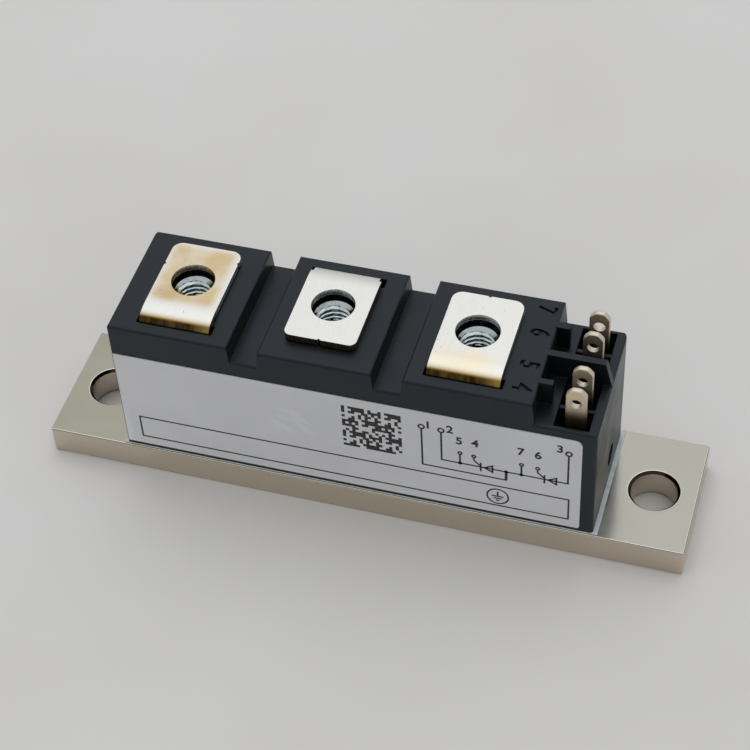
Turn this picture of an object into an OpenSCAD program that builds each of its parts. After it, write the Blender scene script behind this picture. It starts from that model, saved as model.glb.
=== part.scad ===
// Thyristor module with two thyristors in series: plated base plate, moulded housing,
// three folded terminal strips over captive nuts, four control tabs and the stack inside.
// X runs along the plate, the label faces -Y, and Z = 0 is the underside of the plate.

/* [Base plate] */
// Length of the plate to the left of the housing
left_flange_l = 12; // [10.5:0.05:20]
// Length of the plate to the right of the housing
right_flange_l = 12.55; // [10.5:0.05:20]
// Width of the base plate
plate_w = 20; // [18:0.1:30]
// Thickness of the base plate
plate_t = 4.5; // [3:0.1:8]
// Corner radius of the base plate, seen from above
plate_corner_r = 0.4; // [0.3:0.1:2.5]
// Bevel along the edges of the base plate
plate_bevel = 0.15; // [0.1:0.05:0.6]
// Distance from the end of the plate to the axis of its mounting hole
hole_inset = 6; // [4.5:0.1:6.5]
// Diameter of the mounting holes
hole_d = 6.5; // [4.3:0.1:7]
// Bevel round the mouths of the mounting holes
hole_bevel = 0.4; // [0.1:0.05:0.5]

/* [Housing] */
// Length of the housing to the left of the first terminal
left_margin = 9; // [8:0.1:9.5]
// Length of the last tower to the right of its terminal
right_margin = 9.75; // [9:0.05:11]
// Margin of bare plate at the front and the back of the housing
housing_inset = 0.3; // [0.2:0.05:0.8]
// Height of the tower tops above the plate
tower_h = 23.8; // [22:0.1:30]
// Depth of the two valleys between the towers
valley_d = 2.7; // [1:0.1:3.5]
// Width of the valleys at the tower tops
valley_w = 4.3; // [2:0.1:6]
// Shift of the valleys to the right of the point midway between two terminals
valley_shift = 0.2; // [0:0.05:1]
// Drop from the tower tops to the rim of the control sockets
rim_drop = 3.8; // [3:0.1:6]
// Draft of the tower flanks in degrees
flank_draft = 5; // [1:0.5:10]
// Wall thickness of the housing
wall = 1.6; // [1:0.1:1.7]
// Radius along the top edges of the housing
edge_r = 0.4; // [0.2:0.05:1]
// Radius of the two upright corners at the back of the housing
corner_r = 1.1; // [0.3:0.05:1.5]
// Radius of the upright corner at the front right
front_corner_r = 0.5; // [0.3:0.05:1.2]
// Radius of the upright corner at which the label starts
label_corner_r = 0.25; // [0.2:0.05:1]
// Diameter of the round recess in the right end wall
recess_d = 3.4; // [2:0.1:5]
// Depth of that recess
recess_depth = 0.8; // [0.3:0.05:0.9]
// Height of its centre above the plate
recess_rise = 4.5; // [3:0.1:8]
// Place of its centre across the housing
recess_y = 1.1; // [-4:0.1:4]

/* [Control sockets] */
// Distance from the last tower to the row of control tabs
tab_back = 5.25; // [4.8:0.05:6.5]
// Distance from the centre line to the inner control tabs
tab_inner_y = 3.2; // [2.8:0.05:3.6]
// Distance from an outer control tab to the outer wall of its socket
tab_wall = 1.9; // [1.6:0.05:2.2]
// Width of a control tab
tab_w = 2.8; // [2:0.1:3.6]
// Thickness of a control tab
tab_t = 0.8; // [0.4:0.05:1.2]
// Height of the control tabs above the socket rim
tab_rise = 5.5; // [4:0.1:8]
// Width of the corner cut at the top of a control tab
tab_chamfer_w = 0.8; // [0.3:0.05:0.9]
// Height of the corner cut at the top of a control tab
tab_chamfer_h = 0.9; // [0.3:0.05:1.4]
// Diameter of the hole in a control tab
tab_hole_d = 1.6; // [0.8:0.05:1.8]
// Distance from the top of a control tab to the centre of its hole
tab_hole_drop = 2.4; // [2:0.05:3]
// Height of the lower ends of the control tabs above the plate
tab_foot_h = 8; // [7.2:0.1:9]
// Clearance round a control tab where it passes through the housing
tab_gap = 0.05; // [0.02:0.01:0.2]
// Distance from the tab row to the left wall of the sockets
well_left = 2.6; // [2.2:0.05:3]
// Distance from the tab row to the right wall of the sockets
well_right = 2.15; // [2.1:0.05:2.5]
// Wall left outside the sockets, at the front and the back
well_wall = 0.65; // [0.5:0.05:1]
// Wall left outside the sockets, at the right end
end_wall = 1.3; // [0.9:0.05:2]
// Thickness of the floor under the sockets
socket_floor = 1.5; // [0.8:0.1:2]
// Depth of the sockets below their rim
well_d = 6; // [3:0.1:6.5]
// Thickness of the divider between two tabs
divider_t = 0.6; // [0.3:0.05:0.9]
// Drop from the rim to the top of the divider
divider_drop = 0.4; // [0.1:0.05:2]
// Thickness of the partition between the two sockets
partition_t = 1; // [0.6:0.05:2]
// Slope of the outer end of the partition
partition_slope = 1; // [0.2:0.05:1.5]
// Thickness of the keying stubs on the last tower
stub_t = 0.9; // [0.5:0.05:1.4]
// Length of the keying stubs
stub_l = 1.75; // [1:0.05:2.4]

/* [Terminals] */
// Distance between terminals
terminal_pitch = 20; // [18:0.1:24]
// Shift of the terminals towards the back
terminal_y = 0.4; // [0:0.05:0.8]
// Width of a terminal strip
bar_w = 10; // [8:0.1:11]
// Thickness of a terminal strip
bar_t = 1; // [0.5:0.05:1.2]
// Height of the underside of a strip above the tower top
bar_lift = 0.2; // [0.1:0.05:1]
// Diameter of the hole in a strip
bar_hole_d = 6; // [5.2:0.1:7]
// Distance from a terminal's axis to the free end of its strip
bar_free_l = 6.7; // [5:0.1:7.6]
// Corner radius at the free ends of strips 1 and 3
bar_corner_r = 1.5; // [0.5:0.1:3]
// Corner radius at the free end of strip 2
bar_2_corner_r = 1; // [0.5:0.1:3]
// Clearance between a strip's leg and the inner wall of the housing
leg_gap = 0.25; // [0.1:0.05:0.6]
// Outer radius of the fold at the top of a strip
fold_r = 1.5; // [1.3:0.1:2.2]
// Outer radius of the slight bow between a strip's flat top and its fold
bow_r = 9; // [6:0.5:12]
// Straight length between a strip's bow and its fold
bow_flat = 0.1; // [0.05:0.05:0.2]
// Outer radius of the bend above a strip's foot
foot_r = 1.5; // [1.3:0.1:2]
// Length of the feet of strips 1 and 3
foot_l = 4.5; // [3:0.1:6]
// Clearance between a strip and the ends of its slot in the housing
slot_gap = 0.35; // [0.1:0.05:0.4]
// Clearance between a strip and the outer and inner sides of its slot
leg_slot_gap = 0.1; // [0.05:0.05:0.4]
// Step on each side where strip 2 narrows to its leg
shoulder = 0.35; // [0.1:0.05:0.8]
// Depth of the shear nicks in the edges of the strips
nick_d = 0.25; // [0.1:0.05:0.6]
// Distance from the first terminal's axis to the nick in the left side of its strip
left_nick_y = 2.3; // [0:0.1:4.5]
// Distance from the first terminal's axis to the nick in the right side of its strip
right_nick_y = 4.5; // [0:0.1:4.5]
// Thread diameter of the terminal screws
screw_d = 5; // [4:1:6]
// Bore of a nut, at the crests of its thread
nut_bore_d = 4.3; // [3.3:0.1:5]
// Bevel at the mouths of a nut
nut_bevel = 0.65; // [0.3:0.05:0.9]
// Width across the flats of a nut
nut_af = 8; // [7:0.5:9]
// Height of a nut
nut_h = 3.7; // [2.5:0.1:5]
// Distance from the tower top down to a nut
nut_drop = 0.8; // [0.2:0.05:1.5]
// Clearance round a nut in its pocket
nut_gap = 0.15; // [0.05:0.05:0.4]
// Room for the screw's end under a nut
screw_run = 3.5; // [2:0.1:4]

/* [Label and seal] */
// Margin of the label at the right end of the housing
label_right = 1.9; // [0.5:0.1:4]
// Height of the label's lower edge above the plate
label_rise = 0.9; // [0.4:0.1:3]
// Distance from the rim of the sockets down to the label's upper edge
label_drop = 1.4; // [1.1:0.1:4]
// Thickness of the label
label_t = 0.12; // [0.05:0.01:0.2]
// Radius of the label's upper right corner
label_r = 1; // [0.3:0.1:3]
// Radius of the label's lower right corner
label_foot_r = 0.4; // [0.3:0.1:3]
// Thickness of the sealant under the housing
seal_t = 0.25; // [0.1:0.05:0.5]
// Sealant that stands out at the two ends of the housing
seal_end = 0.6; // [0.2:0.05:1.5]
// Sealant that stands out at the front and the back
seal_side = 0.05; // [0.03:0.01:0.15]
// Radius of the corners of the sealant
seal_corner_r = 0.15; // [0.1:0.05:1]

/* [Inside] */
// Thickness of a copper layer on the ceramic
copper_t = 0.3; // [0.1:0.05:0.6]
// Thickness of the ceramic
ceramic_t = 0.6; // [0.3:0.05:1]
// Margin between the ceramic and the housing's inner wall
ceramic_gap = 0.3; // [0.1:0.05:0.5]
// Margin of bare ceramic round the copper
copper_margin = 0.5; // [0.3:0.05:1]
// Length of ceramic to the right of the last terminal
ceramic_reach = 9.5; // [7:0.1:12]
// Gap between the two copper islands
island_gap = 1; // [0.5:0.1:1.4]
// Side of thyristor chip 1
chip_1_side = 9; // [7:0.1:9.4]
// Side of thyristor chip 2
chip_2_side = 8; // [7:0.1:8.6]
// Thickness of the chips
chip_t = 0.5; // [0.2:0.05:0.8]
// Distance from the second terminal to chip 2
chip_2_reach = 13.5; // [12.6:0.1:14.5]
// Shift of chip 2 towards the back
chip_2_y = 2.5; // [2:0.1:2.8]
// Width of the clip on chip 2
clip_w = 5; // [3:0.1:5.4]
// Thickness of the clip on chip 2
clip_t = 0.5; // [0.3:0.05:0.8]
// Length of the clip's foot on the common island
clip_foot_l = 1.6; // [1:0.1:1.8]
// Edge of chip 1 left bare for its gate
gate_edge = 2.5; // [2:0.1:3]
// Diameter of the inner leads
lead_d = 0.6; // [0.3:0.05:0.7]
// Distance from the edge of a contact to the axis of its lead
lead_inset = 1; // [0.8:0.1:1.2]
// Distance from the second terminal's axis to the cathode lead on its strip
lead_1_shift = 2.5; // [1:0.1:4]
// Height of the inner leads above the plate
lead_h = 6; // [4.5:0.1:6.8]
// Bend radius of the inner leads
lead_r = 1; // [0.6:0.1:1.2]
// Depth of the gel above the plate
gel_h = 4.6; // [3.6:0.1:4.8]

/* [Hidden] */
// Facets of true rounds, and steps along each rounded corner of an outline
$fn = 48;
corner_steps = 6;
// Overshoot of a cut past the face that it opens
cut = 0.5;

terminal_count = 3;
tower_l = left_margin + (terminal_count - 1) * terminal_pitch + right_margin;
socket_l = tab_back + well_right + end_wall;
plate_l = left_flange_l + tower_l + socket_l + right_flange_l;
housing_x0 = left_flange_l - plate_l / 2;
tower_x1 = housing_x0 + tower_l;
housing_x1 = tower_x1 + socket_l;
housing_y = plate_w / 2 - housing_inset;
corner_radii = [label_corner_r, front_corner_r, corner_r, corner_r];
function terminal_x(i) = housing_x0 + left_margin + i * terminal_pitch;
foot_z = plate_t + seal_t;
tower_z = plate_t + tower_h;
valley_z = tower_z - valley_d;
rim_z = tower_z - rim_drop;
well_z = rim_z - well_d;
cavity_z = well_z - socket_floor;
cavity_x0 = housing_x0 + wall;
cavity_x1 = housing_x1 - wall;
cavity_y = housing_y - wall;
leg_y = cavity_y - leg_gap;
tab_x = tower_x1 + tab_back;
tab_foot_z = plate_t + tab_foot_h;
tab_top_z = rim_z + tab_rise;
well_x0 = tab_x - well_left;
well_x1 = tab_x + well_right;
well_y = housing_y - well_wall;
tab_outer_y = well_y - tab_wall;
tab_mid_y = (tab_inner_y + tab_outer_y) / 2;
nut_z = tower_z - nut_drop - nut_h;
bar_z = tower_z + bar_lift;
// A strip bows down until its underside meets the level of the tower top, and folds from there
bow_angle = acos(1 - bar_lift / (bow_r - bar_t));
fold_angle = 90 - bow_angle;
bow_l = bow_r * tan(bow_angle / 2) + bow_flat + fold_r * tan(fold_angle / 2);
bow_run = bow_l * cos(bow_angle);
bow_drop = bow_l * sin(bow_angle);
ceramic_x0 = cavity_x0 + ceramic_gap;
ceramic_x1 = terminal_x(2) + ceramic_reach;
ceramic_y = cavity_y - ceramic_gap;
ceramic_z = plate_t + copper_t;
pad_z = ceramic_z + ceramic_t + copper_t;
chip_z = pad_z + chip_t;
chip_2_x = terminal_x(1) + chip_2_reach;
anode_x0 = chip_2_x - chip_2_side / 2 - copper_margin;
middle_x1 = anode_x0 - island_gap;
bar_2_foot_l = leg_y + chip_1_side / 2 - gate_edge;
lead_z = plate_t + lead_h;
gel_z = plate_t + gel_h;

// Points that round one corner of an outline, between its two neighbours
function unit(v) = v / norm(v);
function corner(before, at, after, r) =
    let (a = unit(before - at), b = unit(after - at), half = acos(a * b) / 2,
         centre = at + unit(a + b) * r / sin(half),
         start = at + a * r / tan(half) - centre, end = at + b * r / tan(half) - centre,
         from = atan2(start.y, start.x),
         turn = (atan2(end.y, end.x) - from + 540) % 360 - 180)
    r == 0 ? [at]
           : [for (i = [0:corner_steps]) let (w = from + turn * i / corner_steps)
              centre + r * [cos(w), sin(w)]];
// An outline with each corner rounded to its own radius
function rounded(points, radii) =
    [for (i = [0:len(points) - 1])
        each corner(points[(i + len(points) - 1) % len(points)], points[i],
                    points[(i + 1) % len(points)], radii[i])];
function box_outline(x0, x1, y0, y1) = [[x0, y0], [x1, y0], [x1, y1], [x0, y1]];
function chamfered_outline(w, h, c) =
    [[c - w / 2, 0], [w / 2 - c, 0], [w / 2, c], [w / 2, h - c],
     [w / 2 - c, h], [c - w / 2, h], [-w / 2, h - c], [-w / 2, c]];

// An outline drawn in X and Z, made into a slab from y0 to y1
module along_y(outline, y0, y1)
    translate([0, y1, 0]) rotate([90, 0, 0]) linear_extrude(y1 - y0) polygon(outline);
// An outline drawn in Y and Z, made into a slab from x0 to x1
module along_x(outline, x0, x1)
    translate([x0, 0, 0]) rotate([90, 0, 90]) linear_extrude(x1 - x0) polygon(outline);
module box(x0, x1, y0, y1, z0, z1)
    translate([x0, y0, z0]) cube([x1 - x0, y1 - y0, z1 - z0]);

// A hole from Z = 0 up to h with a bevel at each mouth, cut by cones that pass the mouth by its depth
module bevelled_hole(d, h, bevel) {
    translate([0, 0, -cut]) cylinder(d = d, h = h + 2 * cut);
    translate([0, 0, h - bevel]) cylinder(d1 = d, d2 = d + 4 * bevel, h = 2 * bevel);
    translate([0, 0, -bevel]) cylinder(d1 = d + 4 * bevel, d2 = d, h = 2 * bevel);
}

module base_plate() color("#a9a99c")
    difference() {
        intersection() {
            linear_extrude(plate_t)
                polygon(rounded(box_outline(-plate_l / 2, plate_l / 2, -plate_w / 2, plate_w / 2),
                                [for (i = [1:4]) plate_corner_r]));
            along_y(chamfered_outline(plate_l, plate_t, plate_bevel), -plate_w / 2, plate_w / 2);
            along_x(chamfered_outline(plate_w, plate_t, plate_bevel), -plate_l / 2, plate_l / 2);
        }
        for (side = [-1, 1])
            translate([side * (plate_l / 2 - hole_inset), 0, 0]) bevelled_hole(hole_d, plate_t, hole_bevel);
    }

// Part of the housing between two places along X, with rounded front and back top edges
module block(outline, top)
    intersection() {
        along_y(outline, -housing_y, housing_y);
        along_x(rounded(box_outline(-housing_y, housing_y, foot_z, top), [0, 0, edge_r, edge_r]),
                housing_x0, housing_x1);
    }

// Outline of a tower whose flanks slope out downwards by their draft
function tower_outline(x0, x1, lean0, lean1) =
    rounded([[x0 - lean0, rim_z], [x1 + lean1, rim_z], [x1, tower_z], [x0, tower_z]],
            [0, 0, edge_r, edge_r]);

module towers() {
    lean = rim_drop * tan(flank_draft);
    valley_mid = [for (i = [0, 1]) (terminal_x(i) + terminal_x(i + 1)) / 2 + valley_shift];
    block(tower_outline(housing_x0, valley_mid[0] - valley_w / 2, 0, lean), tower_z);
    block(tower_outline(valley_mid[0] + valley_w / 2, valley_mid[1] - valley_w / 2, lean, lean), tower_z);
    block(tower_outline(valley_mid[1] + valley_w / 2, tower_x1, lean, lean), tower_z);
}

// Partition between the sockets and a keying stub in each, as high as the towers
module socket_ribs() {
    root_x = tower_x1 - edge_r;
    end_z = rim_z - edge_r;
    along_y([[root_x, end_z - cut], [housing_x1, end_z - cut], [housing_x1, end_z],
             [housing_x1 - partition_slope, tower_z], [root_x, tower_z]],
            -partition_t / 2, partition_t / 2);
    for (side = [-1, 1])
        translate([root_x, side * tab_mid_y - stub_t / 2, rim_z - cut])
            cube([edge_r + stub_l, stub_t, rim_drop + cut]);
}

module housing_outside()
    intersection() {
        union() {
            block(box_outline(housing_x0, tower_x1, foot_z, valley_z), valley_z);
            block(rounded(box_outline(tower_x1 - cut, housing_x1, foot_z, rim_z), [0, 0, edge_r, 0]), rim_z);
            towers();
            socket_ribs();
        }
        translate([0, 0, foot_z]) linear_extrude(tower_z - foot_z)
            polygon(rounded(box_outline(housing_x0, housing_x1, -housing_y, housing_y), corner_radii));
    }

// Well round the two tabs of one socket, split by a low divider
module socket_well() {
    divider_y = [tab_mid_y - divider_t / 2, tab_mid_y + divider_t / 2];
    box(well_x0, well_x1, partition_t / 2, divider_y[0], well_z, rim_z + cut);
    box(well_x0, well_x1, divider_y[1], well_y, well_z, rim_z + cut);
    box(well_x0, well_x1, partition_t / 2, well_y, rim_z - divider_drop, rim_z + cut);
    for (y = [tab_inner_y, tab_outer_y])
        box(tab_x - tab_w / 2 - tab_gap, tab_x + tab_w / 2 + tab_gap,
            y - tab_t / 2 - tab_gap, y + tab_t / 2 + tab_gap, cavity_z - cut, well_z + cut);
}

// Pocket for a nut, with room for the screw's end and a slot for the strip's leg
module terminal_cut(i) {
    translate([terminal_x(i), terminal_y, nut_z]) {
        cylinder(d = (nut_af + 2 * nut_gap) / cos(30), h = tower_z - nut_z + cut, $fn = 6);
        translate([0, 0, -screw_run]) cylinder(d = screw_d + cut, h = screw_run + cut);
    }
    side = leg_side(i);
    outer = side * (leg_y + leg_slot_gap);
    inner = side * (leg_y - fold_r - leg_slot_gap);
    box(terminal_x(i) - bar_w / 2 - slot_gap, terminal_x(i) + bar_w / 2 + slot_gap,
        min(outer, inner), max(outer, inner), cavity_z - cut, tower_z + cut);
}

module cavity(z0, z1) box(cavity_x0, cavity_x1, -cavity_y, cavity_y, z0, z1);

module housing() color("#2c2f35")
    difference() {
        housing_outside();
        cavity(foot_z - cut, cavity_z);
        for (i = [0:terminal_count - 1]) terminal_cut(i);
        socket_well();
        mirror([0, 1, 0]) socket_well();
        translate([housing_x1 - recess_depth, recess_y, plate_t + recess_rise]) rotate([0, 90, 0])
            cylinder(d = recess_d, h = recess_depth + cut);
    }

module adhesive_seal() color("#a3abaf")
    translate([0, 0, plate_t]) linear_extrude(seal_t)
        difference() {
            polygon(rounded(box_outline(housing_x0 - seal_end, housing_x1 + seal_end,
                                        -housing_y - seal_side, housing_y + seal_side),
                            [for (i = [1:4]) seal_corner_r]));
            polygon(box_outline(cavity_x0, cavity_x1, -cavity_y, cavity_y));
        }

module label() color("#a9abaf")
    along_y(rounded(box_outline(housing_x0 + label_corner_r, housing_x1 - label_right,
                                plate_t + label_rise, rim_z - label_drop),
                    [0, label_foot_r, label_r, 0]),
            -housing_y - label_t, -housing_y);

// Side on which a strip's leg goes down: strips 1 and 3 at the front, strip 2 at the back
function leg_side(i) = i == 1 ? 1 : -1;

// A strip folded from its seat up and over its nut, with its leg on its own side
module busbar(i, seat_z, seat_l, free_r) {
    side = leg_side(i);
    free_y = terminal_y - side * bar_free_l;
    leg_out = side * leg_y;
    leg_in = side * (leg_y - bar_t);
    seat_end = side * (leg_y - seat_l);
    x0 = terminal_x(i) - bar_w / 2;
    x1 = terminal_x(i) + bar_w / 2;
    top = bar_z + bar_t;
    bow_y = leg_out - side * bow_run;
    fold_z = top - bow_drop;
    difference() {
        intersection() {
            along_x(rounded([[free_y, top], [bow_y, top], [leg_out, fold_z], [leg_out, seat_z],
                             [seat_end, seat_z], [seat_end, seat_z + bar_t], [leg_in, seat_z + bar_t],
                             [leg_in, fold_z - bar_t * tan(fold_angle / 2)],
                             [bow_y - side * bar_t * tan(bow_angle / 2), bar_z], [free_y, bar_z]],
                            [0, bow_r, fold_r, foot_r, 0, 0, foot_r - bar_t, fold_r - bar_t,
                             bow_r - bar_t, 0]), x0, x1);
            linear_extrude(top + cut)
                polygon(rounded([[x0, leg_out], [x1, leg_out], [x1, free_y], [x0, free_y]],
                                [0, 0, free_r, free_r]));
        }
        translate([terminal_x(i), terminal_y, bar_z - cut]) cylinder(d = bar_hole_d, h = bar_t + 2 * cut);
    }
}

// A shear nick in the edge of a strip, placed from its terminal's axis
module nick(i, x, y)
    translate([terminal_x(i) + x, terminal_y + y, bar_z - cut])
        cylinder(r = nick_d, h = bar_t + 2 * cut, $fn = 4);

module busbar_1() color("#d8c9a0")
    difference() {
        busbar(0, pad_z, foot_l, bar_corner_r);
        nick(0, -bar_w / 2, left_nick_y);
        nick(0, bar_w / 2, right_nick_y);
    }

module busbar_2() color("#dcdcd6")
    difference() {
        busbar(1, chip_z, bar_2_foot_l, bar_2_corner_r);
        nick(1, 0, -bar_free_l);
        for (side = [-1, 1])
            translate([terminal_x(1) + side * bar_w / 2 - shoulder, leg_y - fold_r, plate_t])
                cube([2 * shoulder, fold_r + cut, bar_z + bar_t]);
    }

module busbar_3() color("#d9d2b4")
    difference() {
        busbar(2, pad_z, foot_l, bar_corner_r);
        nick(2, 0, bar_free_l);
    }

module nut()
    difference() {
        cylinder(d = nut_af / cos(30), h = nut_h, $fn = 6);
        bevelled_hole(nut_bore_d, nut_h, nut_bevel);
    }

module terminal_nuts() color("#b9c6cc")
    for (i = [0:terminal_count - 1]) translate([terminal_x(i), terminal_y, nut_z]) nut();

// A stamped tab with cut corners and a hole near its top
module control_tab(y)
    translate([tab_x, y, 0]) difference() {
        along_y([[-tab_w / 2, tab_foot_z], [tab_w / 2, tab_foot_z], [tab_w / 2, tab_top_z - tab_chamfer_h],
                 [tab_w / 2 - tab_chamfer_w, tab_top_z], [tab_chamfer_w - tab_w / 2, tab_top_z],
                 [-tab_w / 2, tab_top_z - tab_chamfer_h]], -tab_t / 2, tab_t / 2);
        translate([0, tab_t, tab_top_z - tab_hole_drop]) rotate([90, 0, 0])
            cylinder(d = tab_hole_d, h = 2 * tab_t);
    }

module gate_tab_1() color("#b8a98c") control_tab(-tab_outer_y);
module cathode_tab_1() color("#b8a98c") control_tab(-tab_inner_y);
module gate_tab_2() color("#b8a98c") control_tab(tab_inner_y);
module cathode_tab_2() color("#b8a98c") control_tab(tab_outer_y);

// A copper layer set in from the edge of the ceramic
module copper_layer(x0, x1, z)
    box(x0, x1, copper_margin - ceramic_y, ceramic_y - copper_margin, z, z + copper_t);

module back_copper() color("#b87333")
    copper_layer(ceramic_x0 + copper_margin, ceramic_x1 - copper_margin, plate_t);
module ceramic_substrate() color("#f2efe6")
    box(ceramic_x0, ceramic_x1, -ceramic_y, ceramic_y, ceramic_z, ceramic_z + ceramic_t);
module middle_pad() color("#b87333")
    copper_layer(ceramic_x0 + copper_margin, middle_x1, ceramic_z + ceramic_t);
module anode_pad() color("#b87333")
    copper_layer(anode_x0, ceramic_x1 - copper_margin, ceramic_z + ceramic_t);

module chip(x, y, side) translate([x - side / 2, y - side / 2, pad_z]) cube([side, side, chip_t]);
module thyristor_chip_1() color("#6b6f78") chip(terminal_x(1), 0, chip_1_side);
module thyristor_chip_2() color("#6b6f78") chip(chip_2_x, chip_2_y, chip_2_side);

// Clip from the top of chip 2 down to the edge of the common island
clip_y = chip_2_y + (chip_2_side - clip_w) / 2 - copper_margin;
module cathode_clip() color("#c98a54") {
    foot_x = middle_x1 - clip_foot_l;
    end_x = chip_2_x + chip_2_side / 2 - copper_margin;
    along_y([[foot_x, pad_z], [middle_x1, pad_z], [middle_x1, chip_z], [end_x, chip_z],
             [end_x, chip_z + clip_t], [middle_x1 - clip_t, chip_z + clip_t],
             [middle_x1 - clip_t, pad_z + clip_t], [foot_x, pad_z + clip_t]],
            clip_y - clip_w / 2, clip_y + clip_w / 2);
}

// A quarter bend of lead, standing upright, from one angle about its centre to the next
module lead_bend(from)
    rotate([90, 0, 0]) rotate([0, 0, from]) rotate_extrude(angle = 90)
        translate([lead_r, 0]) circle(d = lead_d);

// A lead from its contact up to the lead level, across to a tab and up to the tab's foot
module lead(contact, y) {
    way = [tab_x - contact.x, y - contact.y];
    run = norm(way);
    translate([contact.x, contact.y, 0]) rotate([0, 0, atan2(way.y, way.x)]) {
        translate([0, 0, contact.z]) cylinder(d = lead_d, h = lead_z - lead_r - contact.z);
        translate([lead_r, 0, lead_z - lead_r]) lead_bend(90);
        translate([lead_r, 0, lead_z]) rotate([0, 90, 0]) cylinder(d = lead_d, h = run - 2 * lead_r);
        translate([run - lead_r, 0, lead_z + lead_r]) lead_bend(270);
        translate([run, 0, lead_z + lead_r]) cylinder(d = lead_d, h = tab_foot_z - lead_z - lead_r);
    }
}

chip_1_gate = [terminal_x(1), (gate_edge - chip_1_side) / 2, chip_z];
chip_1_cathode = [terminal_x(1) + lead_1_shift, gate_edge - chip_1_side / 2 + lead_inset, chip_z + bar_t];
chip_2_gate = [chip_2_x, chip_2_y - chip_2_side / 2 + lead_inset, chip_z];
chip_2_cathode = [chip_2_x, clip_y, chip_z + clip_t];
module gate_lead_1() color("#d8c25a") lead(chip_1_gate, -tab_outer_y);
module cathode_lead_1() color("#b4482f") lead(chip_1_cathode, -tab_inner_y);
module gate_lead_2() color("#d8c25a") lead(chip_2_gate, tab_inner_y);
module cathode_lead_2() color("#b4482f") lead(chip_2_cathode, tab_outer_y);

module silicone_gel() color("#c4d0d2")
    difference() {
        cavity(plate_t, gel_z);
        back_copper();
        ceramic_substrate();
        middle_pad();
        anode_pad();
        thyristor_chip_1();
        thyristor_chip_2();
        cathode_clip();
        busbar_1();
        busbar_2();
        busbar_3();
        gate_lead_1();
        cathode_lead_1();
        gate_lead_2();
        cathode_lead_2();
    }

base_plate();
housing();
adhesive_seal();
label();
busbar_1();
busbar_2();
busbar_3();
terminal_nuts();
gate_tab_1();
cathode_tab_1();
gate_tab_2();
cathode_tab_2();
back_copper();
ceramic_substrate();
middle_pad();
anode_pad();
thyristor_chip_1();
thyristor_chip_2();
cathode_clip();
gate_lead_1();
cathode_lead_1();
gate_lead_2();
cathode_lead_2();
silicone_gel();
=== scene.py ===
"""Looks of a power module with two thyristors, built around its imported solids.

The solids carry the sizes. Each class below takes its places from them, models what is too fine
for a solid, such as thread, sunk numerals and print, and gives every surface its finish.
Lengths are in millimetres until MM turns them into metres.
"""

import logging
import math
from collections.abc import Callable, Iterator
from contextlib import contextmanager
from dataclasses import dataclass
from enum import Enum

import bmesh
import bpy
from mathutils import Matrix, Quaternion, Vector


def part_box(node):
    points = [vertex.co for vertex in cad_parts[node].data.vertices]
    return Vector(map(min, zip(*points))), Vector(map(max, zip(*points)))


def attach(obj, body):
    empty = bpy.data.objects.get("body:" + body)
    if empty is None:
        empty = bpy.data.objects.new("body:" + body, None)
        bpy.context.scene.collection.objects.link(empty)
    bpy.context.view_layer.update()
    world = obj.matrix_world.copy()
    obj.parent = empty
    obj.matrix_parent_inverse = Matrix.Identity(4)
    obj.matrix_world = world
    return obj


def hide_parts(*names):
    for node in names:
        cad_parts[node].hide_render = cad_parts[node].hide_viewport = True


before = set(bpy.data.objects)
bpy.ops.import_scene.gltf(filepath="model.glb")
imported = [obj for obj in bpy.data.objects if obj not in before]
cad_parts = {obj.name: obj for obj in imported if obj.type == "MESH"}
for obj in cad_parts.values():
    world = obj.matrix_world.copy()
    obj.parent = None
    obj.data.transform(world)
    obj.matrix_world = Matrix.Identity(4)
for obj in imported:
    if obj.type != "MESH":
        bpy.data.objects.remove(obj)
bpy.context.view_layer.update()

MM = 0.001
BODY = "root"
log = logging.getLogger("module")

Piece = bpy.types.Object
Socket = bpy.types.NodeSocket
Point = tuple[float, float]
Place = tuple[float, float, float]

# Share of a type size that a numeral fills
DIGIT_SHARE = 0.7
# Distances below which two places count as one, in millimetres
MERGE = 0.001
HAIR = 0.01
# Angles below which faces count as one flat face, and as one smooth face
FLAT_ANGLE = math.radians(0.2)
SMOOTH_ANGLE = math.radians(35)
# The least upward part of a level face's normal, and the most of an upright face's
LEVEL = 0.99
UPRIGHT = 0.1
# The whole range of a share, and the range that a pattern of clouds mostly keeps to
FULL: Point = (0.0, 1.0)
CLOUDS: Point = (0.3, 0.7)


# Small tools for colours and nodes


def linear(colour: str) -> tuple[float, float, float, float]:
    """Turn a hash and six sRGB hex digits into linear red, green, blue and alpha."""
    channels = [int(colour[i:i + 2], 16) / 255 for i in (1, 3, 5)]
    return (*[c / 12.92 if c <= 0.04045 else ((c + 0.055) / 1.055) ** 2.4 for c in channels], 1.0)


def add(tree: bpy.types.NodeTree, kind: str, inputs: dict | None = None,
        **settings: object) -> bpy.types.Node:
    """Add one node with its settings and links.

    Args:
        tree: The node tree that gets the node.
        kind: The node's type, without the prefix that all of them share.
        inputs: For each input, by name or number, a value or the output that feeds it.
        settings: The node's own properties.

    Returns:
        The new node.
    """
    node = tree.nodes.new("ShaderNode" + kind)
    for name, value in settings.items():
        setattr(node, name, value)
    for key, value in (inputs or {}).items():
        if isinstance(value, Socket):
            tree.links.new(value, node.inputs[key])
        else:
            node.inputs[key].default_value = value
    return node


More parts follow.
